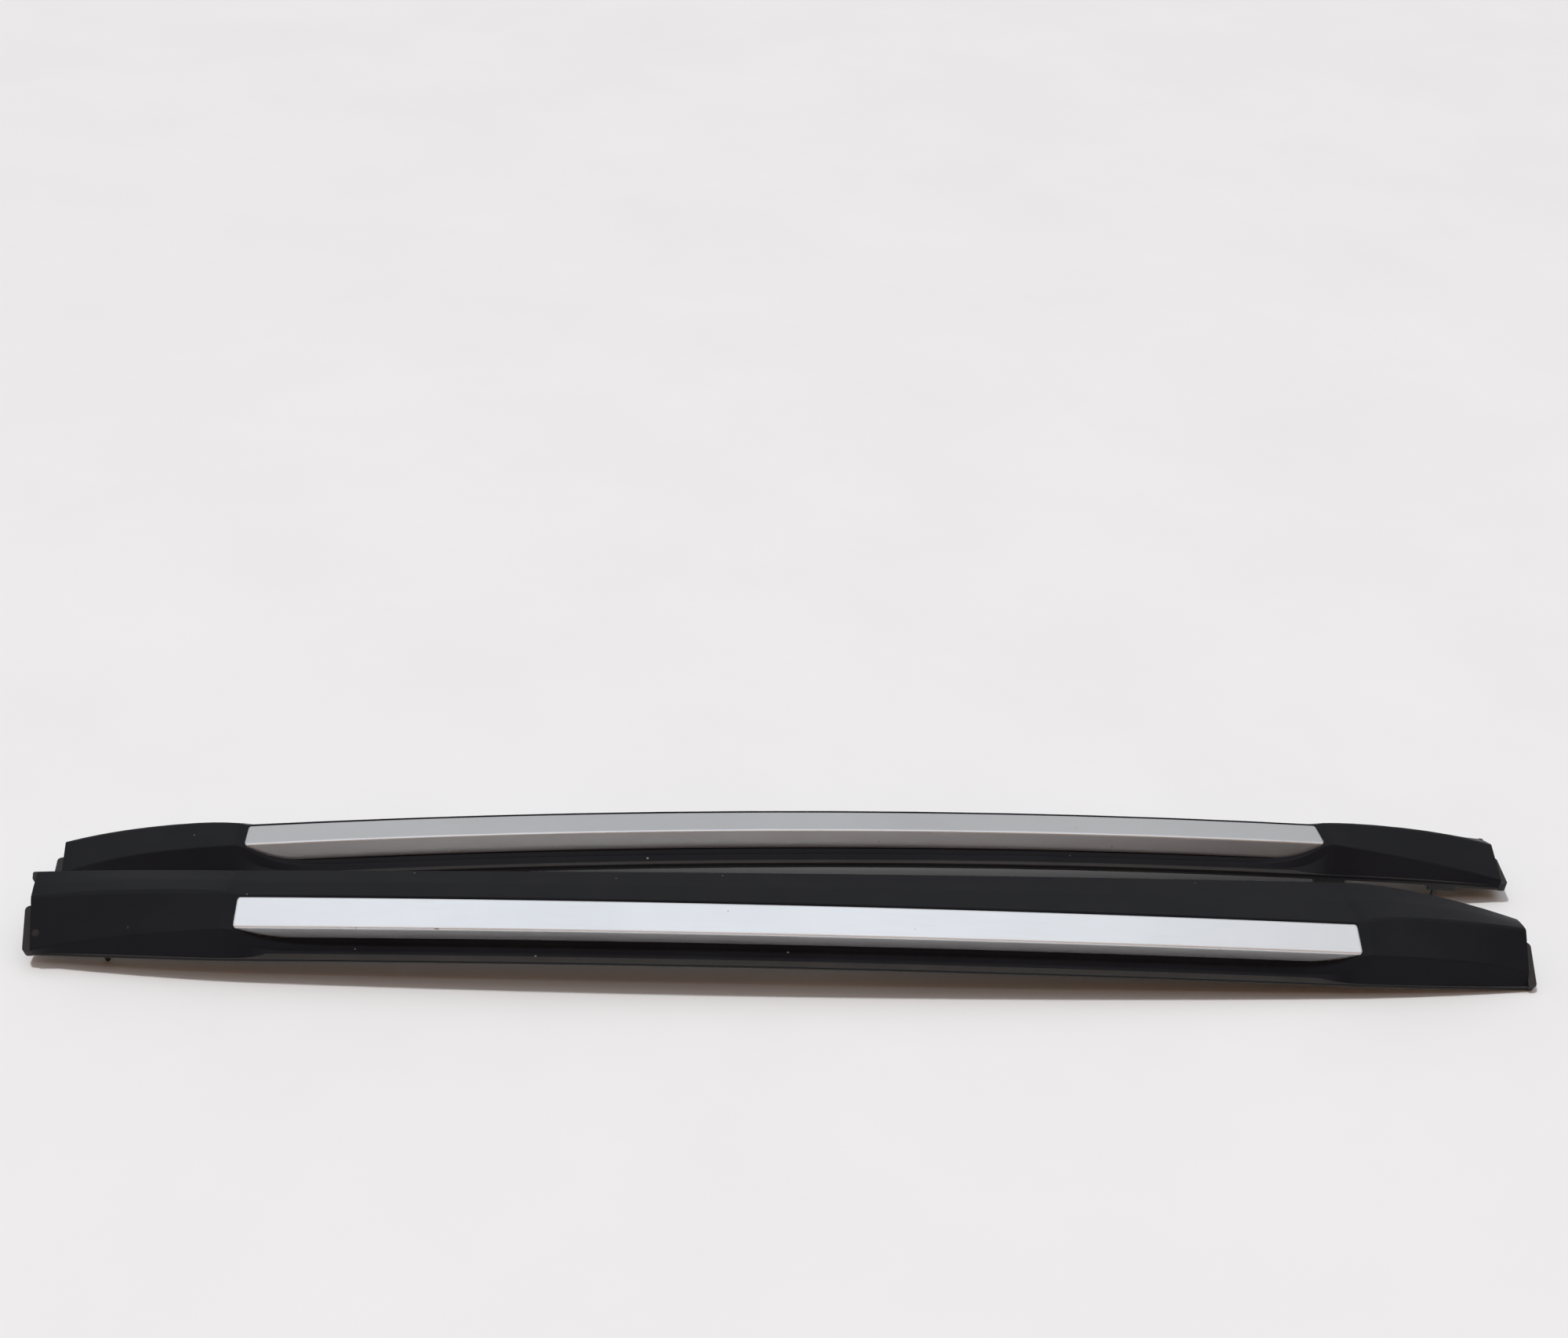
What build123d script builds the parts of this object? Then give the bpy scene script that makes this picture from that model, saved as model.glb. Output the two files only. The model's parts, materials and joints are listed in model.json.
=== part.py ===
from build123d import *
import math
import os

# Roof side rail pair: two mirrored rails lying side by side on a floor, in millimetres.
# Each rail is drawn with X along the car (front foot at -X), Y towards the middle of the
# roof and Z up. Its zero is the bar's inner top edge at mid length. "Reach" is measured
# from there outwards (-Y), "drop" downwards.

# The arc that a whole rail follows over the roof
arc_radius = 7905.0
arc_lean = 9.5  # degrees that the arc's plane leans inwards, which bows the rail in plan
arc_steps = 4  # spans of a piece that follows the arc

# Aluminium bar
bar_length = 1121.0  # along its outer top edge
bar_width = 32.5
bar_depth = 21.5
bar_wall = 2.2
bar_draft = 1.0  # the outer side's lower edge stands this far out
bar_outer_round = 2.2
bar_inner_round = 1.0
bar_end_slant = 2.4  # the inner top edge is shorter by this at each end
bar_corner_round = 6.0
bar_fit = 0.35  # clearance between the bar and its pocket

# Base moulding beside the bar
wall = 3.0
overrun = 3.0  # cuts run past the faces they open by this
open_drop = 70.0  # below every lower face
base_depth = 27.5  # from the bar's top to the moulding's lower edge
rim_height = 3.0  # at the inner lower edge
outer_rim_height = 1.4
skirt_reach = 55.5
lip_reach = 41.5
lip_drop = 23.6
ledge_reach = 45.6
ledge_drop = 26.2
ledge_share = 0.3  # on the feet the ledge lies in the outer flank, this far below the crease
groove_reach = 37.0
groove_drop = 25.0
shoulder_reach = 2.5
front_flank_reach = 41.8  # inner lower edge at the bar's front end
rear_flank_reach = 68.5  # inner lower edge at the bar's rear end
flank_hollow = 2.6  # the inner lower edge runs in by this at mid length
front_flank_drop = 4.0  # inner lower edge below the outer one at the bar's front end
rear_flank_drop = 22.0
flank_bulge = 0.8
flank_round = 70.0
ridge_round = 2.0
shoulder_round = 1.2

# Feet
crease_reach = 34.6
foot_rise = 2.0  # the foot's top stands this far above the bar's top
facet_length = 9.0  # slope from the bar's top up to the foot's top
sweep_length = 38.0  # over this the lip climbs to the foot's crease
sweep_start = 2.0
shoulder_run = 45.0  # over this the shoulder moves inwards from the bar's end
foot_shoulder_round = 7.0
front_foot_length = 199.5
front_end_turn = 4.2  # degrees: the tip is cut longer at its inner side
front_crease_drop = 25.8
front_crease_flare = 12.0
front_skirt_taper = 9.0
front_sole_drop = 7.0
front_shoulder_reach = 6.0
front_shoulder_drop = 16.0
rear_foot_length = 185.0
rear_end_turn = 1.5
rear_crease_drop = 22.0
rear_skirt_taper = 6.0
rear_sole_drop = 3.5
rear_shoulder_reach = 9.0
rear_shoulder_drop = 14.0
rear_flank_taper = 41.0

# Gasket under the moulding's lower edge
gasket_height = 3.0
gasket_width = 6.0
gasket_inset = 0.4  # from the moulding's lower edge
tab_length = 9.0
tab_width = 50.0
tab_height = 6.0  # above the moulding's lower edge
tab_round = 5.0
ear_length = 4.5  # small ear at the front tip's inner corner
ear_width = 9.0
ear_height = 4.0
ear_round = 2.0

# Hollows inside the moulding
side_skin = 3.6
crease_skin = 0.6
top_skin = 4.1
shoulder_skin = 1.2
flank_skin = 7.0
end_skin = 4.5
hollow_margin = 12.0  # solid moulding at each end of the bar

# Steel brackets, with their upper faces on bosses inside the feet
plate = 3.0
bracket_drop = 24.0
bracket_width = 44.0
bracket_reach = 26.0  # outer edge
front_bracket_start = 15.0  # from the bar's end
front_bracket_length = 146.0
rear_bracket_start = 15.0
rear_bracket_length = 122.0
bracket_corner = 5.0
centre_bracket_length = 96.0
centre_bracket_width = 23.0
floor_thick = 3.2  # moulding under the bar
recess_margin = 4.0  # floor left uncut at each side of the bar
seat_depth = 0.3  # flat seats for screw heads and brackets

# Fasteners
stud_radius = 4.0
stud_neck_radius = 4.6  # inside the seal and the bracket
stud_reach = 36.7  # below the gasket
centre_stud_reach = 20.0
stud_collar_radius = 8.0
stud_collar_height = 2.0
front_stud_start = 43.0  # from the bar's end
rear_stud_start = 39.0
stud_line_reach = 10.0
seal_radius = 11.5
seal_height = 7.0
screw_radius = 2.0
screw_head_radius = 4.2
screw_head_height = 2.4
screw_grip = 9.0  # length in a boss
screw_inset = 8.0  # from the bracket's edges
boss_radius = 5.5
hole_clearance = 0.15
bar_screw_spacing = 170.0
bar_screw_pairs = 3

# Locating pins, their brackets and the foam pad
pin_radius = 2.6
front_pin_start = 137.0
front_pin_reach = 40.5
front_pin_drop = 59.8  # tip below the bar's top
rear_pin_start = 115.0
rear_pin_reach = -33.0
rear_pin_drop = 61.6
pin_bracket_length = 31.0
pin_bracket_width = 10.0
pin_bracket_height = 13.0
pin_bracket_wall = 2.0
pin_offset = 5.0  # the pin stands off the bracket's middle, towards the bar
pad_length = 33.0
pad_width = 5.0
pad_height = 12.5
pad_start = 10.0
pad_reach = 45.6

# How the two rails lie: the left one leans over on its outer edge, the right one stands
left_roll = 28.8
left_pitch = 0.594
left_height = 89.27
right_yaw = 1.92
right_shift = -5.0
right_spacing = 161.0
right_height = 90.0

half_bar = bar_length / 2
front_end = -half_bar - front_foot_length
rear_end = half_bar + rear_foot_length
lean = math.radians(arc_lean)
arc_axis = Axis(
    (0, arc_radius * math.sin(lean), -arc_radius * math.cos(lean)),
    (0, math.cos(lean), math.sin(lean)),
)


def blend(a, b, share):
    return a + (b - a) * share


def at(along, shape):
    # carries a shape drawn at mid length along the rail's arc
    return shape.rotate(arc_axis, math.degrees(along / arc_radius))


def foot_share(along):
    # 0 at the bar's end, 1 at the foot's tip
    length = front_foot_length if along < 0 else rear_foot_length
    return max(0.0, (abs(along) - half_bar) / length)


def sole_drop(along):
    # outer lower edge of the moulding
    drop = front_sole_drop if along < 0 else rear_sole_drop
    return base_depth + drop * foot_share(along) ** 2


def flank_drop(along):
    # the inner lower edge hangs below the outer one, most at the bar's rear end
    share = min(1.0, max(0.0, (along + half_bar) / bar_length))
    return blend(front_flank_drop, rear_flank_drop, share) * (1 - foot_share(along))


def sole(along, reach):
    # height of the moulding's lower face
    share = (skirt(along) - reach) / (skirt(along) - flank(along))
    return -sole_drop(along) - flank_drop(along) * share


def skirt(along):
    # reach of the outer lower edge
    taper = front_skirt_taper if along < 0 else rear_skirt_taper
    return skirt_reach - taper * foot_share(along) ** 1.5


def flank(along):
    # reach of the inner lower edge
    share = min(1.0, max(0.0, (along + half_bar) / bar_length))
    taper = rear_flank_taper * foot_share(along) ** 1.7 if along > 0 else 0.0
    hollow = 4 * flank_hollow * share * (1 - share)
    return taper + hollow - blend(front_flank_reach, rear_flank_reach, share)


def crease(along):
    # ridge of the outer flank: the foot's crease, sweeping down to the lip beside the bar
    beyond = abs(along) - half_bar
    share = foot_share(along)
    if beyond > 0:
        rise = foot_rise * min(1.0, beyond / facet_length)
        if along < 0:
            return crease_reach + front_crease_flare * share**3, rise - front_crease_drop * share
        return crease_reach, rise - rear_crease_drop * share**2.8
    swept = math.tanh((sweep_start - beyond) / sweep_length)
    return blend(crease_reach, lip_reach, swept), -lip_drop * swept


def ledge(along):
    # valley between the lip and the outer lower edge; on the feet it lies in the outer flank
    out, up = crease(along)
    flat_reach = blend(out, skirt(along), ledge_share)
    flat_up = blend(up, outer_rim_height - sole_drop(along), ledge_share)
    swept = max(0.0, math.tanh((sweep_start + half_bar - abs(along)) / sweep_length))
    return blend(flat_reach, ledge_reach, swept), blend(flat_up, -ledge_drop, swept)


def ramp(along, length):
    # climbs from 0 at the bar's end to 1 at a length beyond it
    return min(1.0, max(0.0, (abs(along) - half_bar) / length))


def shoulder(along):
    # edge between the top and the inner flank
    share = foot_share(along)
    foot_reach = front_shoulder_reach if along < 0 else rear_shoulder_reach
    drop = front_shoulder_drop if along < 0 else rear_shoulder_drop
    reach = -blend(shoulder_reach, foot_reach, ramp(along, shoulder_run))
    return reach, foot_rise * ramp(along, facet_length) - drop * share**3


def groove(along):
    # foot of the groove between the bar and the lip; on the feet it lies in the top
    beyond = abs(along) - half_bar
    out, up = crease(along)
    back, back_up = shoulder(along)
    top_reach = blend(out, back, 0.15)
    top_up = blend(up, back_up, 0.15)
    if beyond > 0:
        return top_reach, top_up
    swept = math.tanh((sweep_start - beyond) / sweep_length)
    return blend(blend(crease_reach, back, 0.15), groove_reach, swept), -groove_drop * swept


def rounded(points, radii):
    # closed outline with a soft curve at each corner that takes at most 0.45 of a side
    count = len(points)
    starts = []
    ends = []
    for i, radius in enumerate(radii):
        corner = Vector(*points[i])
        before = Vector(*points[i - 1]) - corner
        after = Vector(*points[(i + 1) % count]) - corner
        half_turn = math.radians(180 - before.get_angle(after)) / 2
        trim = min(radius * math.tan(half_turn), 0.45 * before.length, 0.45 * after.length)
        starts.append(corner + before.normalized() * trim)
        ends.append(corner + after.normalized() * trim)
    edges = []
    for i, radius in enumerate(radii):
        if radius > 0:
            edges.append(Bezier(starts[i], Vector(*points[i]), ends[i]))
        edges.append(Line(ends[i], starts[(i + 1) % count]))
    return edges


def turned(along, shape):
    # carries a shape along the arc and turns it with the slant of the foot's end
    turn = front_end_turn if along < 0 else -rear_end_turn
    pivot = Axis((0, -skirt_reach, 0), (0, 0, 1))
    return at(along, shape.rotate(pivot, turn * foot_share(along) ** 3))


def section(corners, radii, along):
    # a face across the rail from (reach, height) corners; its outline starts at the middle
    # of its last side, so that neighbouring sections line up
    first, last = corners[0], corners[-1]
    start = (blend(first[0], last[0], 0.5), blend(first[1], last[1], 0.5))
    points = [(-reach, height) for reach, height in [start] + corners]
    return turned(along, Plane.YZ * make_face(rounded(points, [0] + radii)))


def moulding_section(along):
    low = -sole_drop(along)
    inner = flank(along)
    inner_low = low - flank_drop(along)
    top = shoulder(along)
    run = (inner - top[0], inner_low + rim_height - top[1])
    size = math.hypot(*run)
    bulge = (
        blend(top[0], inner, 0.5) + flank_bulge * run[1] / size,
        blend(top[1], inner_low + rim_height, 0.5) - flank_bulge * run[0] / size,
    )
    top_round = blend(shoulder_round, foot_shoulder_round, ramp(along, facet_length))
    corners = [
        (skirt(along), low),
        (skirt(along), low + outer_rim_height),
        ledge(along),
        crease(along),
        groove(along),
        top,
        bulge,
        (inner, inner_low + rim_height),
        (inner, inner_low),
    ]
    return section(corners, [0, 0, 0, ridge_round, 0, top_round, flank_round, 0, 0], along)


def along_rail(face_at, trim=0.0):
    # whole-length body in five runs, which meet at the creases beside the bar's ends
    shares = (0.2, 0.4, 0.6, 0.8)
    front_tip = front_foot_length - trim
    rear_tip = rear_foot_length - trim
    front = [-half_bar - v for v in [front_tip] + [front_foot_length * q for q in reversed(shares)]]
    rear = [half_bar + v for v in [rear_foot_length * q for q in shares] + [rear_tip]]
    ends = [sweep_length * v for v in (0.0, 0.35, 0.8, 1.4, 2.2, 3.4)]
    middle = [bar_length * v for v in (-0.25, -0.12, 0.0, 0.12, 0.25)]
    front_facet = -half_bar - facet_length
    rear_facet = half_bar + facet_length
    runs = [
        front + [front_facet],
        [front_facet, -half_bar],
        [v - half_bar for v in ends] + middle + [half_bar - v for v in reversed(ends)],
        [half_bar, rear_facet],
        [rear_facet] + rear,
    ]
    bodies = [loft([face_at(along) for along in run]) for run in runs]
    return bodies[0] + bodies[1:]


def arc_piece(corners, radii, start, end):
    # a section carried round the rail's arc from one place to another
    places = [blend(start, end, step / arc_steps) for step in range(arc_steps + 1)]
    return loft([section(corners, radii, along) for along in places])


def bar_plan(grow):
    # tall prism with the plan shape of the bar's ends: slanted, with round corners
    end_bow = arc_radius * math.sin(lean) * (1 - math.cos(half_bar / arc_radius))
    outer = end_bow - bar_width - bar_draft - grow
    inner = end_bow + grow
    long = half_bar + grow
    short = long - bar_end_slant
    middle = 2 * bar_width
    points = [(-long, outer), (0, -middle), (long, outer), (short, inner), (0, middle), (-short, inner)]
    corner = bar_corner_round + grow
    outline = make_face(rounded(points, [corner, 0, corner, corner, 0, corner]))
    return extrude(outline, amount=bar_length / 4, both=True)


def bar_corners(grow, top):
    low = -bar_depth - grow
    return [(-grow, top), (bar_width + grow, top), (bar_width + bar_draft + grow, low), (-grow, low)]


def make_bar():
    rounds = [bar_inner_round, bar_outer_round, bar_inner_round, bar_inner_round]
    body = arc_piece(bar_corners(0, 0), rounds, -half_bar, half_bar) & bar_plan(0)
    void_end = half_bar + overrun
    void = arc_piece(bar_corners(-bar_wall, -bar_wall), [0, 0, 0, 0], -void_end, void_end)
    places = bar_screw_places() + centre_screw_places()
    return body - [void] - [at(along, floor_hole()) for along in places]


def bar_screw_places():
    places = [bar_screw_spacing * (i + 0.5) for i in range(bar_screw_pairs)]
    return [-p for p in reversed(places)] + places


def centre_screw_places():
    place = centre_bracket_length / 2 - screw_inset
    return [-place, place]


bar_line = bar_width / 2
floor_drop = bar_depth + bar_fit + floor_thick  # lower face of the floor under the bar
seat_drop = floor_drop - seat_depth  # flat seats cut into that face
screw_top = -bar_depth + 2 * bar_wall


def rod(radius, low, high, reach, along=0.0):
    # upright cylinder between two heights
    place = Pos(along, -reach, low)
    return place * Cylinder(radius, high - low, align=(Align.CENTER, Align.CENTER, Align.MIN))


def slab(length, width, low, high, reach, along=0.0):
    place = Pos(along, -reach, low)
    return place * Box(length, width, high - low, align=(Align.CENTER, Align.CENTER, Align.MIN))


def floor_hole():
    return rod(screw_radius + hole_clearance, -open_drop, screw_top + hole_clearance, bar_line)


def head_seat():
    return rod(screw_head_radius + bar_fit, -open_drop, -seat_drop, bar_line)


def screw(head_face, top, reach, along=0.0):
    head = rod(screw_head_radius, head_face - screw_head_height, head_face, reach, along)
    head = chamfer(head.edges().group_by(Axis.Z)[0], screw_head_height / 3)
    return head + rod(screw_radius, head_face, top, reach, along)


# Each foot bracket is drawn flat at mid length and carried to its own place
class FootBracket:
    def __init__(self, side, start, length, stud_start):
        middle = start + length / 2
        self.along = side * (half_bar + middle)
        self.length = length
        self.stud_offset = side * (stud_start - middle)
        self.reach = bracket_reach - bracket_width / 2
        self.low = -bracket_drop - plate
        long = length / 2 - screw_inset
        wide = bracket_width / 2 - screw_inset
        self.screws = [(x, self.reach + r) for x in (-long, long) for r in (-wide, wide)]

    def plate(self):
        body = slab(self.length, bracket_width, self.low, -bracket_drop, self.reach)
        body = fillet(body.edges().filter_by(Axis.Z), bracket_corner)
        for x, reach in self.screws:
            body -= rod(screw_radius + hole_clearance, self.low, -bracket_drop, reach, x)
        radius = stud_neck_radius + hole_clearance
        hole = rod(radius, self.low, -bracket_drop, stud_line_reach, self.stud_offset)
        return at(self.along, body - hole)

    def bosses(self):
        return [at(self.along, rod(boss_radius, -bracket_drop, foot_rise, r, x)) for x, r in self.screws]

    def boss_holes(self):
        radius = screw_radius + hole_clearance
        top = -bracket_drop + screw_grip + hole_clearance
        return [at(self.along, rod(radius, -bracket_drop, top, r, x)) for x, r in self.screws]

    def fixings(self):
        return [at(self.along, screw(self.low, -bracket_drop + screw_grip, r, x)) for x, r in self.screws]

    def stud(self):
        return at(self.along, make_stud(self.low, stud_reach, stud_line_reach, self.stud_offset))

    def seal(self):
        return at(self.along, make_seal(self.low, stud_line_reach, self.stud_offset))


def make_stud(plate_low, below, reach, along=0.0):
    tip = -base_depth - gasket_height - below
    collar_low = plate_low - stud_collar_height
    shank = rod(stud_radius, tip, collar_low - seal_height, reach, along)
    shank = chamfer(shank.edges().group_by(Axis.Z)[0], stud_radius / 4)
    neck = rod(stud_neck_radius, collar_low - seal_height, plate_low + plate, reach, along)
    return shank + neck + rod(stud_collar_radius, collar_low, plate_low, reach, along)


def make_seal(plate_low, reach, along=0.0):
    top = plate_low - stud_collar_height
    body = rod(seal_radius, top - seal_height, top, reach, along)
    body = fillet(body.edges().group_by(Axis.Z)[0], seal_height / 5)
    return body - rod(stud_neck_radius + hole_clearance, top - seal_height, top, reach, along)


# A locating pin hangs from a folded bracket under a solid pad of the moulding
class LocatingPin:
    def __init__(self, side, start, reach, drop):
        self.along = side * (half_bar + start)
        self.reach = reach
        ends = [side * (half_bar + start + v) for v in (-pin_bracket_length / 2, pin_bracket_length / 2)]
        edges = (reach - pin_bracket_width / 2, reach + pin_bracket_width / 2)
        self.top = seat_depth + max(sole(end, edge) for end in ends for edge in edges)
        self.tip = -drop
        self.pin_place = -side * pin_offset
        self.screw_place = side * pin_offset

    def envelope(self, grow, low, high):
        long = pin_bracket_length + 2 * grow
        wide = pin_bracket_width + 2 * grow
        return at(self.along, slab(long, wide, low, high, self.reach))

    def pad(self):
        return self.envelope(wall / 2, self.top, foot_rise)

    def notch(self):
        # room for the bracket in the gasket and the moulding's lower edge
        return self.envelope(bar_fit, -open_drop, self.top)

    def screw_hole(self):
        top = self.top + screw_grip / 2 + hole_clearance
        hole = rod(screw_radius + hole_clearance, self.top, top, self.reach, self.screw_place)
        return at(self.along, hole)

    def bracket(self):
        low = self.top - pin_bracket_height
        web = self.top - pin_bracket_wall
        body = slab(pin_bracket_length, pin_bracket_width, low, self.top, self.reach)
        body = fillet(body.edges().filter_by(Axis.X).group_by(Axis.Z)[-1], pin_bracket_wall / 2)
        body -= slab(pin_bracket_length, pin_bracket_width - 2 * pin_bracket_wall, low, web, self.reach)
        body -= rod(pin_radius + hole_clearance, web, self.top, self.reach, self.pin_place)
        body -= rod(screw_radius + hole_clearance, web, self.top, self.reach, self.screw_place)
        return at(self.along, body)

    def pin(self):
        body = rod(pin_radius, self.tip, self.top, self.reach, self.pin_place)
        body = chamfer(body.edges().group_by(Axis.Z)[0], pin_radius / 3)
        return at(self.along, body)

    def fixing(self):
        web = self.top - pin_bracket_wall
        small = rod(pin_bracket_width / 2 - pin_bracket_wall - hole_clearance, web - pin_bracket_wall,
                    web, self.reach, self.screw_place)
        shank = rod(screw_radius, web, self.top + screw_grip / 2, self.reach, self.screw_place)
        return at(self.along, small + shank)


front_bracket = FootBracket(-1, front_bracket_start, front_bracket_length, front_stud_start)
rear_bracket = FootBracket(1, rear_bracket_start, rear_bracket_length, rear_stud_start)
front_pin = LocatingPin(-1, front_pin_start, front_pin_reach, front_pin_drop)
rear_pin = LocatingPin(1, rear_pin_start, rear_pin_reach, rear_pin_drop)


def foot_cavity(side, length):
    # hollow of a foot, open below
    faces = []
    for beyond in (facet_length + wall, 0.35 * length, 0.6 * length, 0.8 * length, length - end_skin):
        along = side * (half_bar + beyond)
        edge = skirt(along) - side_skin
        back_edge = flank(along) + flank_skin
        out, up = crease(along)
        back, back_up = shoulder(along)
        corners = [
            (edge, sole(along, edge) - overrun),
            (min(out - crease_skin, edge), up - top_skin),
            (back + shoulder_skin, back_up - top_skin),
            (back_edge, sole(along, back_edge) - overrun),
        ]
        faces.append(section(corners, [0, 0, 0, 0], along))
    return loft(faces if side > 0 else faces[::-1], ruled=True)


def flank_cavity():
    # hollow under the inner flank beside the bar
    faces = []
    near = -bar_fit - wall
    for step in range(arc_steps + 1):
        along = blend(-half_bar + hollow_margin, half_bar - hollow_margin, step / arc_steps)
        back = flank(along) + flank_skin
        low = sole(along, back) - overrun
        faces.append(section([(near, low), (near, -top_skin), (back, low)], [0, 0, 0], along))
    return loft(faces)


def make_moulding(outer):
    pocket_end = half_bar + overrun
    pocket = arc_piece(bar_corners(bar_fit, foot_rise + overrun), [0, 0, 0, 0], -pocket_end, pocket_end)
    recess = [
        (recess_margin, -floor_drop),
        (bar_width - recess_margin, -floor_drop),
        (bar_width - recess_margin, -open_drop),
        (recess_margin, -open_drop),
    ]
    recess_end = half_bar - hollow_margin
    seat_length = centre_bracket_length + 2 * bar_fit
    seat_width = centre_bracket_width + 2 * bar_fit
    front_solid = front_bracket.bosses() + [front_pin.pad(), pad_block(wall, 0, open_drop)]
    rear_solid = rear_bracket.bosses() + [rear_pin.pad()]
    cuts = [
        foot_cavity(-1, front_foot_length) - front_solid,
        foot_cavity(1, rear_foot_length) - rear_solid,
        flank_cavity(),
        pocket & bar_plan(bar_fit),
        arc_piece(recess, [0, 0, 0, 0], -recess_end, recess_end),
        slab(seat_length, seat_width, -open_drop, -seat_drop, bar_line),
        front_pin.notch(),
        rear_pin.notch(),
        front_pin.screw_hole(),
        rear_pin.screw_hole(),
    ]
    cuts += front_bracket.boss_holes() + rear_bracket.boss_holes()
    cuts += [at(along, head_seat()) for along in bar_screw_places()]
    cuts += [at(along, floor_hole()) for along in bar_screw_places() + centre_screw_places()]
    return outer - cuts


def gasket_section(along, inset, rise, below):
    out = skirt(along) - inset
    back = flank(along) + inset
    low, back_low = sole(along, out), sole(along, back)
    corners = [(out, low - below), (out, low + rise), (back, back_low + rise), (back, back_low - below)]
    return section(corners, [0, 0, 0, 0], along)


def gasket_tab(along, side, size, height, reach, corner):
    # an end of the gasket that shows past the foot's tip
    length, width = size
    low = -sole_drop(along) - gasket_height
    body = slab(length, width, low, low + gasket_height + height, reach, side * length / 2)
    tips = body.edges().filter_by(Axis.Z).sort_by(Axis.X)
    return turned(along, fillet(tips[-2:] if side > 0 else tips[:2], corner))


def make_gasket(outer):
    block = along_rail(lambda along: gasket_section(along, gasket_inset, overrun, gasket_height))
    inset = gasket_inset + gasket_width
    below = gasket_height + overrun
    hollow = along_rail(lambda along: gasket_section(along, inset, below, below), gasket_width)
    tab = (tab_length, tab_width)
    ear = (ear_length, ear_width)
    ear_reach = flank(front_end) + gasket_inset + ear_width / 2
    tips = [
        gasket_tab(front_end, -1, tab, tab_height, skirt(front_end) - tab_width / 2, tab_round),
        gasket_tab(rear_end, 1, tab, tab_height, skirt(rear_end) - tab_width / 2, tab_round),
        gasket_tab(front_end, -1, ear, ear_height, ear_reach, ear_round),
    ]
    ring = block - [outer, hollow]
    return ring + tips - [front_pin.notch(), rear_pin.notch()]


def pad_block(grow, high, low):
    # upright block round the foam pad's place, between two drops
    along = -half_bar - pad_start
    return at(along, slab(pad_length + 2 * grow, pad_width + 2 * grow, -low, -high, pad_reach))


def make_pad(outer, gasket):
    along = -half_bar - pad_start
    drop = -sole(along, pad_reach)
    return pad_block(0, drop - overrun, drop + pad_height) - [outer, gasket]


def make_centre_bracket():
    low = -seat_drop - plate
    body = slab(centre_bracket_length, centre_bracket_width, low, -seat_drop, bar_line)
    body = fillet(body.edges().filter_by(Axis.Z), bracket_corner)
    for along in centre_screw_places():
        body -= rod(screw_radius + hole_clearance, low, -seat_drop, bar_line, along)
    return body - rod(stud_neck_radius + hole_clearance, low, -seat_drop, bar_line)


def rail_pieces():
    outer = along_rail(moulding_section)
    gasket = make_gasket(outer)
    centre_low = -seat_drop - plate
    centre_screws = [screw(centre_low, screw_top, bar_line, x) for x in centre_screw_places()]
    return {
        "base_moulding": make_moulding(outer),
        "silver_bar": make_bar(),
        "base_gasket": gasket,
        "front_bracket": front_bracket.plate(),
        "rear_bracket": rear_bracket.plate(),
        "centre_bracket": make_centre_bracket(),
        "roof_studs": Compound(children=[
            front_bracket.stud(), rear_bracket.stud(), make_stud(centre_low, centre_stud_reach, bar_line)]),
        "stud_seals": Compound(children=[
            front_bracket.seal(), rear_bracket.seal(), make_seal(centre_low, bar_line)]),
        "bracket_screws": Compound(children=front_bracket.fixings() + rear_bracket.fixings()
                                   + centre_screws + [front_pin.fixing(), rear_pin.fixing()]),
        "bar_screws": Compound(children=[
            at(x, screw(-seat_drop, screw_top, bar_line)) for x in bar_screw_places()]),
        "pin_brackets": Compound(children=[front_pin.bracket(), rear_pin.bracket()]),
        "locating_pins": Compound(children=[front_pin.pin(), rear_pin.pin()]),
        "foam_pad": make_pad(outer, gasket),
    }


def lay_left(shape):
    return Pos(0, 0, left_height) * shape.rotate(Axis.X, left_roll).rotate(Axis.Y, left_pitch)


def lay_right(shape):
    turned = mirror(shape, about=Plane.YZ).rotate(Axis.Z, right_yaw)
    return Pos(right_shift, right_spacing, right_height) * turned


pieces = rail_pieces()
pair = {"left_" + name: lay_left(shape) for name, shape in pieces.items()}
pair |= {"right_" + name: lay_right(shape) for name, shape in pieces.items()}

# the pair's zero is on the floor, under the middle of its box
corners = [shape.bounding_box() for shape in pair.values()]
middle_x = (min(b.min.X for b in corners) + max(b.max.X for b in corners)) / 2
middle_y = (min(b.min.Y for b in corners) + max(b.max.Y for b in corners)) / 2
os.makedirs("parts", exist_ok=True)
for name, shape in pair.items():
    export_step(Pos(-middle_x, -middle_y, 0) * shape, f"parts/{name}.step")
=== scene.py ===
import json
import math
import bpy
import bmesh
from mathutils import Matrix, Vector


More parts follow.
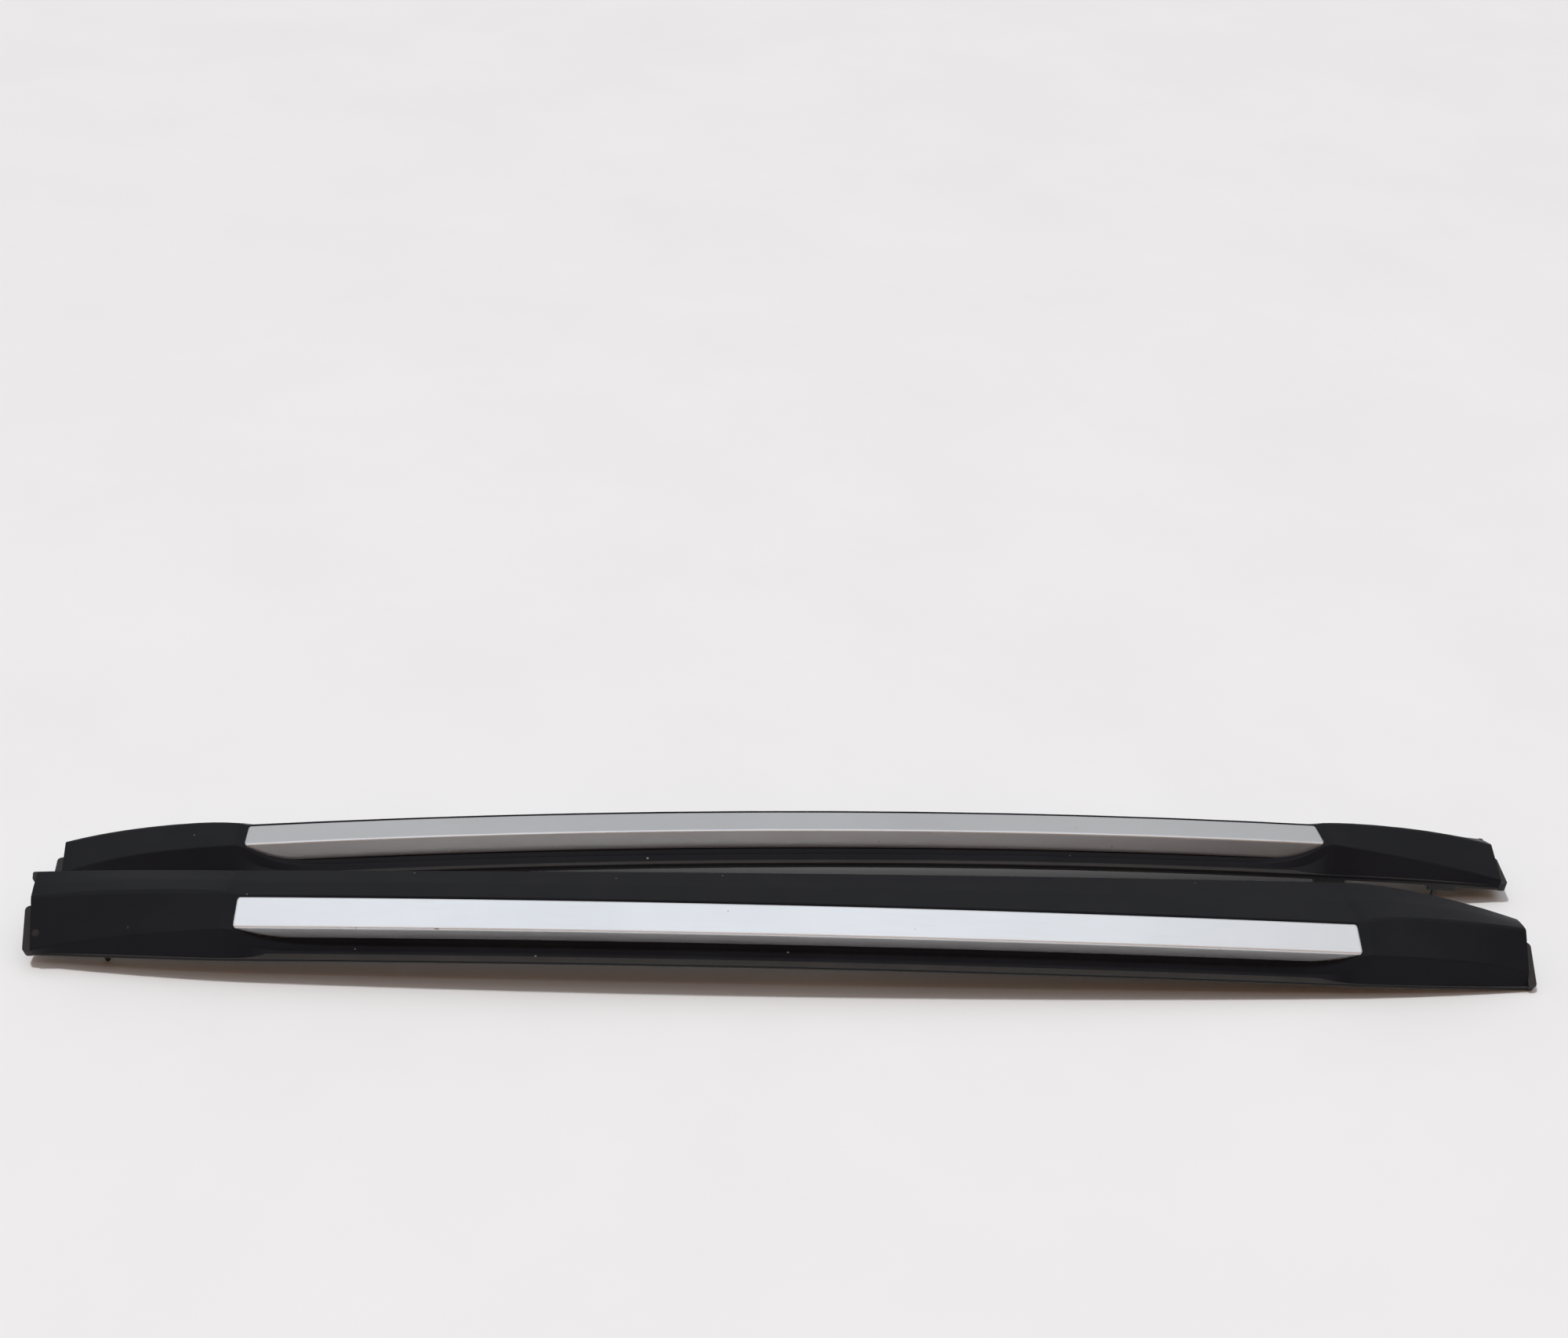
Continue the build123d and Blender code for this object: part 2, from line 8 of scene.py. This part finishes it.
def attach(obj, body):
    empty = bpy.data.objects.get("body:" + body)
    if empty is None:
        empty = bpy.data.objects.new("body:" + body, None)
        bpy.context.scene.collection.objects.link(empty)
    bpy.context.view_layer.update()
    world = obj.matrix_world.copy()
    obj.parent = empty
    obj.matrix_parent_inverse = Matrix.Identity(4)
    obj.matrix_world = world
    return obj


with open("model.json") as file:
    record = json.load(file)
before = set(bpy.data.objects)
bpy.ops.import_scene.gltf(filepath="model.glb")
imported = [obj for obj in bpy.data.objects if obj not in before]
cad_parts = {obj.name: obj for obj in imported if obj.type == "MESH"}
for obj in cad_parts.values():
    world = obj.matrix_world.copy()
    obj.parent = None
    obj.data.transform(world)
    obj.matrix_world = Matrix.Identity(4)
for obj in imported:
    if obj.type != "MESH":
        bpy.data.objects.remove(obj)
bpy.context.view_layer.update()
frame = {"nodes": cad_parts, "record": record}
nodes = frame["nodes"]
mm = 0.001
sides = ("left", "right")
print("frame loaded:", len(nodes), "nodes")


# node helpers

def newMaterial(name):
    material = bpy.data.materials.new(name)
    material.use_nodes = True
    tree = material.node_tree
    return material, tree, tree.nodes["Principled BSDF"]


def addNode(tree, kind, **values):
    node = tree.nodes.new(kind)
    for key, value in values.items():
        setattr(node, key, value)
    return node


def setInputs(node, **values):
    for key, value in values.items():
        node.inputs[key.replace("_", " ")].default_value = value
    return node


def mathNode(tree, operation, first, second=None, clamp=False):
    node = addNode(tree, "ShaderNodeMath", operation=operation, use_clamp=clamp)
    for socket, value in zip(node.inputs, (first, second)):
        if value is None:
            continue
        if isinstance(value, (int, float)):
            socket.default_value = value
        else:
            tree.links.new(value, socket)
    return node.outputs[0]


def mixColour(tree, mask, first, second, blendType="MIX"):
    node = addNode(tree, "ShaderNodeMix", data_type="RGBA", blend_type=blendType)
    for index, value in ((0, mask), (6, first), (7, second)):
        if isinstance(value, (int, float, tuple)):
            node.inputs[index].default_value = value
        else:
            tree.links.new(value, node.inputs[index])
    return node.outputs[2]


def ramp(tree, value, stops):
    node = addNode(tree, "ShaderNodeValToRGB")
    elements = node.color_ramp.elements
    while len(elements) < len(stops):
        elements.new(1.0)
    for element, (place, colour) in zip(elements, stops):
        element.position = place
        element.color = colour if len(colour) == 4 else (*colour, 1.0)
    tree.links.new(value, node.inputs[0])
    return node.outputs[0]


def grey(value):
    return (value, value, value, 1.0)


def newGroup(name, inputs, outputs):
    tree = bpy.data.node_groups.new(name, "ShaderNodeTree")
    for label, default in inputs:
        kind = "NodeSocketVector" if isinstance(default, tuple) else "NodeSocketFloat"
        socket = tree.interface.new_socket(label, in_out="INPUT", socket_type=kind)
        socket.default_value = default
    for label, kind in outputs:
        tree.interface.new_socket(label, in_out="OUTPUT", socket_type=kind)
    return tree, tree.nodes.new("NodeGroupInput"), tree.nodes.new("NodeGroupOutput")


def placeGroup(tree, group, **values):
    node = addNode(tree, "ShaderNodeGroup", node_tree=group)
    return setInputs(node, **values)


# shared effects

def makeGrainGroup():
    tree, start, end = newGroup(
        "mouldedGrain",
        [("Scale", 900.0), ("Cloud Scale", 9.0)],
        [("Height", "NodeSocketFloat"), ("Cloud", "NodeSocketFloat")],
    )
    place = addNode(tree, "ShaderNodeTexCoord").outputs["Object"]
    fine = setInputs(addNode(tree, "ShaderNodeTexNoise"), Detail=3.0, Roughness=0.55)
    broad = setInputs(addNode(tree, "ShaderNodeTexNoise"), Detail=4.0, Roughness=0.6)
    tree.links.new(place, fine.inputs["Vector"])
    tree.links.new(place, broad.inputs["Vector"])
    tree.links.new(start.outputs["Scale"], fine.inputs["Scale"])
    tree.links.new(start.outputs["Cloud Scale"], broad.inputs["Scale"])
    tree.links.new(fine.outputs["Fac"], end.inputs["Height"])
    tree.links.new(broad.outputs["Fac"], end.inputs["Cloud"])
    return tree


def makeScratchGroup():
    tree, start, end = newGroup(
        "drawnLines",
        [("Along", 3.0), ("Across", 700.0), ("Cut", 0.62)],
        [("Lines", "NodeSocketFloat"), ("Marks", "NodeSocketFloat")],
    )
    place = addNode(tree, "ShaderNodeTexCoord").outputs["Object"]
    spread = addNode(tree, "ShaderNodeCombineXYZ")
    tree.links.new(start.outputs["Along"], spread.inputs["X"])
    tree.links.new(start.outputs["Across"], spread.inputs["Y"])
    tree.links.new(start.outputs["Across"], spread.inputs["Z"])
    mapped = addNode(tree, "ShaderNodeVectorMath", operation="MULTIPLY")
    tree.links.new(place, mapped.inputs[0])
    tree.links.new(spread.outputs[0], mapped.inputs[1])
    noise = setInputs(addNode(tree, "ShaderNodeTexNoise"), Scale=1.0, Detail=2.0, Roughness=0.6)
    tree.links.new(mapped.outputs[0], noise.inputs["Vector"])
    over = mathNode(tree, "SUBTRACT", noise.outputs["Fac"], start.outputs["Cut"])
    tree.links.new(noise.outputs["Fac"], end.inputs["Lines"])
    tree.links.new(mathNode(tree, "MULTIPLY", over, 9.0, clamp=True), end.inputs["Marks"])
    return tree


def makeDustGroup():
    tree, start, end = newGroup(
        "settledDust",
        [("Amount", 0.3), ("Speck Scale", 260.0)],
        [("Film", "NodeSocketFloat"), ("Specks", "NodeSocketFloat")],
    )
    place = addNode(tree, "ShaderNodeTexCoord").outputs["Object"]
    up = addNode(tree, "ShaderNodeSeparateXYZ")
    tree.links.new(addNode(tree, "ShaderNodeNewGeometry").outputs["Normal"], up.inputs[0])
    cloud = setInputs(addNode(tree, "ShaderNodeTexNoise"), Scale=22.0, Detail=6.0, Roughness=0.65)
    tree.links.new(place, cloud.inputs["Vector"])
    facing = mathNode(tree, "MULTIPLY", up.outputs["Z"], cloud.outputs["Fac"], clamp=True)
    tree.links.new(mathNode(tree, "MULTIPLY", facing, start.outputs["Amount"]), end.inputs["Film"])
    cells = addNode(tree, "ShaderNodeTexVoronoi", feature="F1")
    tree.links.new(place, cells.inputs["Vector"])
    tree.links.new(start.outputs["Speck Scale"], cells.inputs["Scale"])
    near = mathNode(tree, "LESS_THAN", cells.outputs["Distance"], 0.13)
    chosen = addNode(tree, "ShaderNodeSeparateColor")
    tree.links.new(cells.outputs["Color"], chosen.inputs[0])
    rare = mathNode(tree, "GREATER_THAN", chosen.outputs[0], 0.985)
    tree.links.new(mathNode(tree, "MULTIPLY", near, rare), end.inputs["Specks"])
    return tree


def makeSpotGroup():
    tree, start, end = newGroup(
        "singleMark",
        [("Centre", (0.0, 0.0, 0.0)), ("Size", (0.002, 0.002, 0.002))],
        [("Mask", "NodeSocketFloat")],
    )
    place = addNode(tree, "ShaderNodeTexCoord").outputs["Object"]
    away = addNode(tree, "ShaderNodeVectorMath", operation="SUBTRACT")
    tree.links.new(place, away.inputs[0])
    tree.links.new(start.outputs["Centre"], away.inputs[1])
    scaled = addNode(tree, "ShaderNodeVectorMath", operation="DIVIDE")
    tree.links.new(away.outputs[0], scaled.inputs[0])
    tree.links.new(start.outputs["Size"], scaled.inputs[1])
    reach = addNode(tree, "ShaderNodeVectorMath", operation="LENGTH")
    tree.links.new(scaled.outputs[0], reach.inputs[0])
    ragged = setInputs(addNode(tree, "ShaderNodeTexNoise"), Scale=1500.0, Detail=3.0)
    tree.links.new(place, ragged.inputs["Vector"])
    wobble = mathNode(tree, "SUBTRACT", ragged.outputs["Fac"], 0.5)
    torn = mathNode(tree, "ADD", reach.outputs["Value"], wobble)
    inside = mathNode(tree, "SUBTRACT", 1.0, torn)
    tree.links.new(mathNode(tree, "MULTIPLY", inside, 4.0, clamp=True), end.inputs["Mask"])  # soft rim
    return tree


grainGroup = makeGrainGroup()
scratchGroup = makeScratchGroup()
dustGroup = makeDustGroup()
spotGroup = makeSpotGroup()
print("shared effects ready")


# finishes

def bumpInto(tree, shader, height, strength, distance, edge=0.0):
    bump = setInputs(addNode(tree, "ShaderNodeBump"), Strength=strength, Distance=distance)
    tree.links.new(height, bump.inputs["Height"])
    if edge:  # edges catch the light as if lightly rounded
        rounded = setInputs(addNode(tree, "ShaderNodeBevel", samples=4), Radius=edge)
        tree.links.new(rounded.outputs[0], bump.inputs["Normal"])
    tree.links.new(bump.outputs[0], shader.inputs["Normal"])


def tint(tree, mask, amount, base, colour):
    return mixColour(tree, mathNode(tree, "MULTIPLY", mask, amount), base, (*colour, 1.0))


def varyRoughness(tree, shader, value, limits, span):
    stops = [(place, grey(limit)) for place, limit in zip(span, limits)]
    tree.links.new(ramp(tree, value, stops), shader.inputs["Roughness"])


def addMarks(tree, base, marks):
    for centre, size, amount, colour in marks:
        mark = placeGroup(tree, spotGroup, Centre=centre, Size=size)
        base = tint(tree, mark.outputs["Mask"], amount, base, colour)
    return base


mouldingLook = {
    "black": (0.0072, 0.0080, 0.0108),
    "faded": (0.0096, 0.0107, 0.0142),
    "dust": (0.17, 0.16, 0.145),
    "roughness": (0.38, 0.50),
    "sheen": 0.08,
    "grainScale": 1400.0, "grainDepth": 0.00006, "grainStrength": 0.35,
    "cloudScale": 7.0,
    "dustAmount": 0.035, "speckScale": 150.0, "speckAmount": 0.35, "speck": (0.4, 0.38, 0.34),
    "edge": 0.0009,
    "marks": (  # place, size, amount, colour
        ((-0.6602, -0.1022, 0.0522), (0.0010, 0.0014, 0.0014), 0.07, (0.45, 0.44, 0.42)),
        ((-0.0167, -0.1223, 0.0491), (0.0014, 0.0009, 0.0009), 0.60, (0.50, 0.49, 0.47)),
        ((-0.2644, -0.1257, 0.0423), (0.0012, 0.0009, 0.0009), 0.50, (0.45, 0.44, 0.42)),
        ((-0.1540, 0.0131, 0.0632), (0.0013, 0.0012, 0.0012), 0.50, (0.45, 0.44, 0.42)),
        ((-0.7515, -0.0932, 0.0369), (0.0045, 0.0040, 0.0040), 0.06, (0.30, 0.27, 0.23)),
    ),
}


def mouldingFinish():
    look = mouldingLook
    material, tree, shader = newMaterial("satinBlackMoulding")
    grain = placeGroup(tree, grainGroup, Scale=look["grainScale"], Cloud_Scale=look["cloudScale"])
    dust = placeGroup(tree, dustGroup, Amount=look["dustAmount"], Speck_Scale=look["speckScale"])
    base = ramp(tree, grain.outputs["Cloud"], [(0.35, look["black"]), (0.68, look["faded"])])
    base = mixColour(tree, dust.outputs["Film"], base, (*look["dust"], 1.0))
    base = tint(tree, dust.outputs["Specks"], look["speckAmount"], base, look["speck"])
    base = addMarks(tree, base, look["marks"])
    tree.links.new(base, shader.inputs["Base Color"])
    varyRoughness(tree, shader, grain.outputs["Cloud"], look["roughness"], (0.3, 0.75))
    shader.inputs["Specular IOR Level"].default_value = look["sheen"]
    bumpInto(tree, shader, grain.outputs["Height"], look["grainStrength"], look["grainDepth"], look["edge"])
    return material


barLook = {
    "silver": (0.80, 0.815, 0.84),
    "dull": (0.75, 0.765, 0.79),
    "roughness": (0.35, 0.42),
    "metal": 0.84,
    "lineAlong": 2.0, "lineAcross": 900.0, "lineCut": 0.66, "lineAmount": 0.06, "line": (0.62, 0.63, 0.65),
    "grainScale": 2600.0, "grainDepth": 0.00001, "grainStrength": 0.12,
    "cloudScale": 5.0,
    "dustAmount": 0.04, "speckScale": 130.0, "speckAmount": 0.5, "speck": (0.3, 0.29, 0.27),
    "edge": 0.0024,
    "marks": (  # a dark nick and two pale specks
        ((-0.3605, -0.1214, 0.0706), (0.0030, 0.0010, 0.0010), 0.60, (0.05, 0.048, 0.045)),
        ((-0.3558, 0.0183, 0.0649), (0.0014, 0.0014, 0.0014), 0.8, (0.95, 0.95, 0.95)),
        ((-0.2373, 0.0214, 0.0672), (0.0012, 0.0012, 0.0012), 0.7, (0.95, 0.95, 0.95)),
    ),
}


def barFinish():
    look = barLook
    material, tree, shader = newMaterial("anodisedSilver")
    lines = placeGroup(
        tree, scratchGroup, Along=look["lineAlong"], Across=look["lineAcross"], Cut=look["lineCut"])
    grain = placeGroup(tree, grainGroup, Scale=look["grainScale"], Cloud_Scale=look["cloudScale"])
    dust = placeGroup(tree, dustGroup, Amount=look["dustAmount"], Speck_Scale=look["speckScale"])
    base = ramp(tree, grain.outputs["Cloud"], [(0.35, look["dull"]), (0.65, look["silver"])])
    base = tint(tree, lines.outputs["Marks"], look["lineAmount"], base, look["line"])
    base = tint(tree, dust.outputs["Specks"], look["speckAmount"], base, look["speck"])
    base = addMarks(tree, base, look["marks"])
    tree.links.new(base, shader.inputs["Base Color"])
    varyRoughness(tree, shader, lines.outputs["Lines"], look["roughness"], (0.3, 0.7))
    shader.inputs["Metallic"].default_value = look["metal"]
    bumpInto(tree, shader, grain.outputs["Height"], look["grainStrength"], look["grainDepth"], look["edge"])
    return material


rubberLooks = {
    "base_gasket": {
        "name": "gasketRubber", "dark": (0.010, 0.010, 0.011), "pale": (0.018, 0.018, 0.019),
        "grainScale": 700.0, "grainDepth": 0.00008,
    },
    "stud_seals": {
        "name": "sealRubber", "dark": (0.012, 0.012, 0.013), "pale": (0.022, 0.022, 0.023),
        "grainScale": 500.0, "grainDepth": 0.00012,
    },
    "foam_pad": {
        "name": "padFoam", "dark": (0.016, 0.016, 0.016), "pale": (0.032, 0.031, 0.03),
        "grainScale": 1500.0, "grainDepth": 0.0004,
    },
    "pin_brackets": {
        "name": "bracketPlastic", "dark": (0.012, 0.012, 0.012), "pale": (0.02, 0.02, 0.02),
        "grainScale": 900.0, "grainDepth": 0.00005,
    },
}
rubberShared = {
    "cloudScale": 14.0, "roughness": (0.62, 0.8), "grainStrength": 0.4,
    "dust": (0.2, 0.19, 0.17), "dustAmount": 0.12, "speckScale": 180.0,
}


def rubberFinish(look):
    shared = rubberShared
    material, tree, shader = newMaterial(look["name"])
    grain = placeGroup(tree, grainGroup, Scale=look["grainScale"], Cloud_Scale=shared["cloudScale"])
    dust = placeGroup(tree, dustGroup, Amount=shared["dustAmount"], Speck_Scale=shared["speckScale"])
    base = ramp(tree, grain.outputs["Cloud"], [(0.35, look["dark"]), (0.7, look["pale"])])
    base = mixColour(tree, dust.outputs["Film"], base, (*shared["dust"], 1.0))
    tree.links.new(base, shader.inputs["Base Color"])
    varyRoughness(tree, shader, grain.outputs["Cloud"], shared["roughness"], (0.3, 0.7))
    bumpInto(tree, shader, grain.outputs["Height"], shared["grainStrength"], look["grainDepth"])
    return material


steelLooks = {
    "locating_pins": {
        "name": "pinSteel", "bright": (0.075, 0.072, 0.070), "dull": (0.045, 0.043, 0.042),
        "roughness": (0.38, 0.52),
    },
    "roof_studs": {
        "name": "studZinc", "bright": (0.62, 0.60, 0.55), "dull": (0.5, 0.48, 0.42),
        "roughness": (0.28, 0.42),
    },
    "screws": {
        "name": "screwZinc", "bright": (0.58, 0.57, 0.53), "dull": (0.46, 0.45, 0.41),
        "roughness": (0.25, 0.4),
    },
    "brackets": {
        "name": "bracketZinc", "bright": (0.60, 0.58, 0.50), "dull": (0.46, 0.43, 0.35),
        "roughness": (0.3, 0.5),
    },
}
steelShared = {
    "grainScale": 800.0, "grainDepth": 0.00003, "grainStrength": 0.2,
    "cloudScale": 40.0,
    "lineAlong": 60.0, "lineAcross": 900.0, "lineCut": 0.6, "lineAmount": 0.2, "line": (0.25, 0.22, 0.17),
}


def steelFinish(look):
    shared = steelShared
    material, tree, shader = newMaterial(look["name"])
    grain = placeGroup(tree, grainGroup, Scale=shared["grainScale"], Cloud_Scale=shared["cloudScale"])
    lines = placeGroup(
        tree, scratchGroup, Along=shared["lineAlong"], Across=shared["lineAcross"], Cut=shared["lineCut"])
    base = ramp(tree, grain.outputs["Cloud"], [(0.35, look["dull"]), (0.65, look["bright"])])
    base = tint(tree, lines.outputs["Marks"], shared["lineAmount"], base, shared["line"])
    tree.links.new(base, shader.inputs["Base Color"])
    varyRoughness(tree, shader, grain.outputs["Cloud"], look["roughness"], (0.3, 0.7))
    shader.inputs["Metallic"].default_value = 1.0
    bumpInto(tree, shader, grain.outputs["Height"], shared["grainStrength"], shared["grainDepth"])
    return material


finishes = {"base_moulding": mouldingFinish(), "silver_bar": barFinish()}
for name, look in rubberLooks.items():
    finishes[name] = rubberFinish(look)
for name in ("locating_pins", "roof_studs"):
    finishes[name] = steelFinish(steelLooks[name])
screwZinc = steelFinish(steelLooks["screws"])
for name in ("bar_screws", "bracket_screws"):
    finishes[name] = screwZinc
plateZinc = steelFinish(steelLooks["brackets"])
for name in ("front_bracket", "rear_bracket", "centre_bracket"):
    finishes[name] = plateZinc

for side in sides:
    for name, material in finishes.items():
        mesh = nodes[f"{side}_{name}"].data
        mesh.materials.clear()
        mesh.materials.append(material)
print("finishes on", len(nodes), "nodes")


# stud threads

threadLook = {
    "pitch": 1.25 * mm, "flank": 0.4,  # half a ridge's foot, in pitches
    "rise": 0.17 * mm, "sunk": 0.06 * mm,  # out of and into the stud
    "bare": 3.0 * mm, "tip": 2.0 * mm,  # left plain at each end
    "steps": 28,
}


def makeThread(mount):
    look = threadLook
    axis = Vector(mount["axis"]).normalized()
    radius = mount["dims"]["r_mm"] * mm
    length = mount["dims"]["length_mm"] * mm
    turns = int((length - look["bare"] - look["tip"]) / look["pitch"])
    step = look["pitch"] / look["steps"]
    bm = bmesh.new()
    flank = look["flank"] * look["pitch"]
    low = bm.verts.new((radius - look["sunk"], 0.0, -flank))
    crest = bm.verts.new((radius + look["rise"], 0.0, 0.0))
    high = bm.verts.new((radius - look["sunk"], 0.0, flank))
    rim = [bm.edges.new(pair) for pair in ((low, crest), (crest, high), (high, low))]
    bmesh.ops.spin(
        bm, geom=[low, crest, high, *rim], cent=(0.0, 0.0, 0.0), axis=(0.0, 0.0, 1.0),
        dvec=(0.0, 0.0, step), angle=math.tau * turns, steps=look["steps"] * turns, use_merge=False,
    )
    bmesh.ops.holes_fill(bm, edges=[edge for edge in bm.edges if edge.is_boundary], sides=3)
    bmesh.ops.recalc_face_normals(bm, faces=bm.faces)
    foot = Vector(mount["pos_m"]) - axis * (length / 2 - look["bare"])
    turn = axis.to_track_quat("Z", "Y").to_matrix().to_4x4()
    bmesh.ops.transform(bm, matrix=Matrix.Translation(foot) @ turn, verts=bm.verts)
    name = mount["name"] + "_thread"
    mesh = bpy.data.meshes.new(name)
    bm.to_mesh(mesh)
    bm.free()
    piece = bpy.data.objects.new(name, mesh)
    bpy.context.collection.objects.link(piece)
    mesh.materials.append(finishes["roof_studs"])
    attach(piece, "root")


for mount in frame["record"]["mounts"]:
    makeThread(mount)


# floor, light and camera

stageLook = {
    "floorSize": 240.0,
    "floor": (0.785, 0.80, 0.82), "patch": (0.76, 0.775, 0.795),
    "roughness": 0.75,
    "grainScale": 60.0, "cloudScale": 3.0,
}


def makeFloor():
    bm = bmesh.new()
    bmesh.ops.create_grid(bm, x_segments=1, y_segments=1, size=stageLook["floorSize"] / 2)
    mesh = bpy.data.meshes.new("floor")
    bm.to_mesh(mesh)
    bm.free()
    floor = bpy.data.objects.new("floor", mesh)
    bpy.context.collection.objects.link(floor)
    material, tree, shader = newMaterial("paleFloor")
    grain = placeGroup(tree, grainGroup, Scale=stageLook["grainScale"], Cloud_Scale=stageLook["cloudScale"])
    stops = [(0.3, stageLook["patch"]), (0.7, stageLook["floor"])]
    tree.links.new(ramp(tree, grain.outputs["Cloud"], stops), shader.inputs["Base Color"])
    shader.inputs["Roughness"].default_value = stageLook["roughness"]
    mesh.materials.append(material)


lightLook = {
    "lampFrom": (-0.30, -0.10, 1.0), "lampAngle": 5.0, "lampPower": 1.80, "lampColour": (1.0, 0.99, 0.97),
    "stripFrom": (0.0, -2.1, 3.4), "stripSize": (5.0, 0.2), "stripPower": 7.0,
    "front": (0.20, 0.155, 0.12), "warm": (0.33, 0.14, 0.04),  # low and high in front
    "back": (0.42, 0.418, 0.42), "zenith": (1.12, 1.20, 1.27),
    "backSpan": (-0.30, 0.45), "warmSpan": (0.25, 0.45), "zenithSpan": (0.70, 0.97),  # where they blend
    "skyStrength": 0.92,
}


def stretch(tree, value, low, high):
    node = addNode(tree, "ShaderNodeMapRange", interpolation_type="SMOOTHSTEP")
    node.inputs["From Min"].default_value = low
    node.inputs["From Max"].default_value = high
    tree.links.new(value, node.inputs["Value"])
    return node.outputs["Result"]


def makeLight():
    look = lightLook
    sun = bpy.data.lights.new("overheadLamp", "SUN")
    sun.angle = math.radians(look["lampAngle"])
    sun.energy = look["lampPower"]
    sun.color = look["lampColour"]
    lamp = bpy.data.objects.new("overheadLamp", sun)
    lamp.rotation_euler = Vector(look["lampFrom"]).to_track_quat("Z", "Y").to_euler()
    lamp.visible_glossy = False  # metal mirrors the room and the strip, not this lamp
    bpy.context.collection.objects.link(lamp)
    strip = bpy.data.lights.new("frontStrip", "AREA")
    strip.shape = "RECTANGLE"
    strip.size, strip.size_y = look["stripSize"]
    strip.energy = look["stripPower"]
    softLamp = bpy.data.objects.new("frontStrip", strip)
    softLamp.location = look["stripFrom"]
    softLamp.rotation_euler = Vector(look["stripFrom"]).to_track_quat("Z", "Y").to_euler()
    bpy.context.collection.objects.link(softLamp)
    world = bpy.data.worlds.new("softRoom")
    bpy.context.scene.world = world
    world.use_nodes = True
    tree = world.node_tree
    direction = addNode(tree, "ShaderNodeSeparateXYZ")
    tree.links.new(addNode(tree, "ShaderNodeTexCoord").outputs["Generated"], direction.inputs[0])
    backward = stretch(tree, direction.outputs["Y"], *look["backSpan"])
    upward = stretch(tree, direction.outputs["Z"], *look["zenithSpan"])
    raised = stretch(tree, direction.outputs["Z"], *look["warmSpan"])
    colour = mixColour(tree, raised, (*look["front"], 1.0), (*look["warm"], 1.0))
    colour = mixColour(tree, backward, colour, (*look["back"], 1.0))
    colour = mixColour(tree, upward, colour, (*look["zenith"], 1.0))
    back = tree.nodes["Background"]
    tree.links.new(colour, back.inputs["Color"])
    back.inputs["Strength"].default_value = look["skyStrength"]


cameraLook = {
    "place": (-0.23052, -2.21369, 1.65018), "turn": (58.691, -3.450, -3.100),
    "lens": 61.2, "sensor": 36.0, "clipEnd": 400.0,
}


def makeCamera():
    lens = bpy.data.cameras.new("camera")
    lens.sensor_fit = "HORIZONTAL"
    lens.sensor_width = cameraLook["sensor"]
    lens.lens = cameraLook["lens"]
    lens.clip_end = cameraLook["clipEnd"]
    camera = bpy.data.objects.new("camera", lens)
    camera.location = cameraLook["place"]
    camera.rotation_euler = [math.radians(a) for a in cameraLook["turn"]]
    bpy.context.collection.objects.link(camera)
    bpy.context.scene.camera = camera


makeFloor()
makeLight()
makeCamera()
bpy.context.scene.view_settings.view_transform = "Standard"
print("floor, light and camera in place")
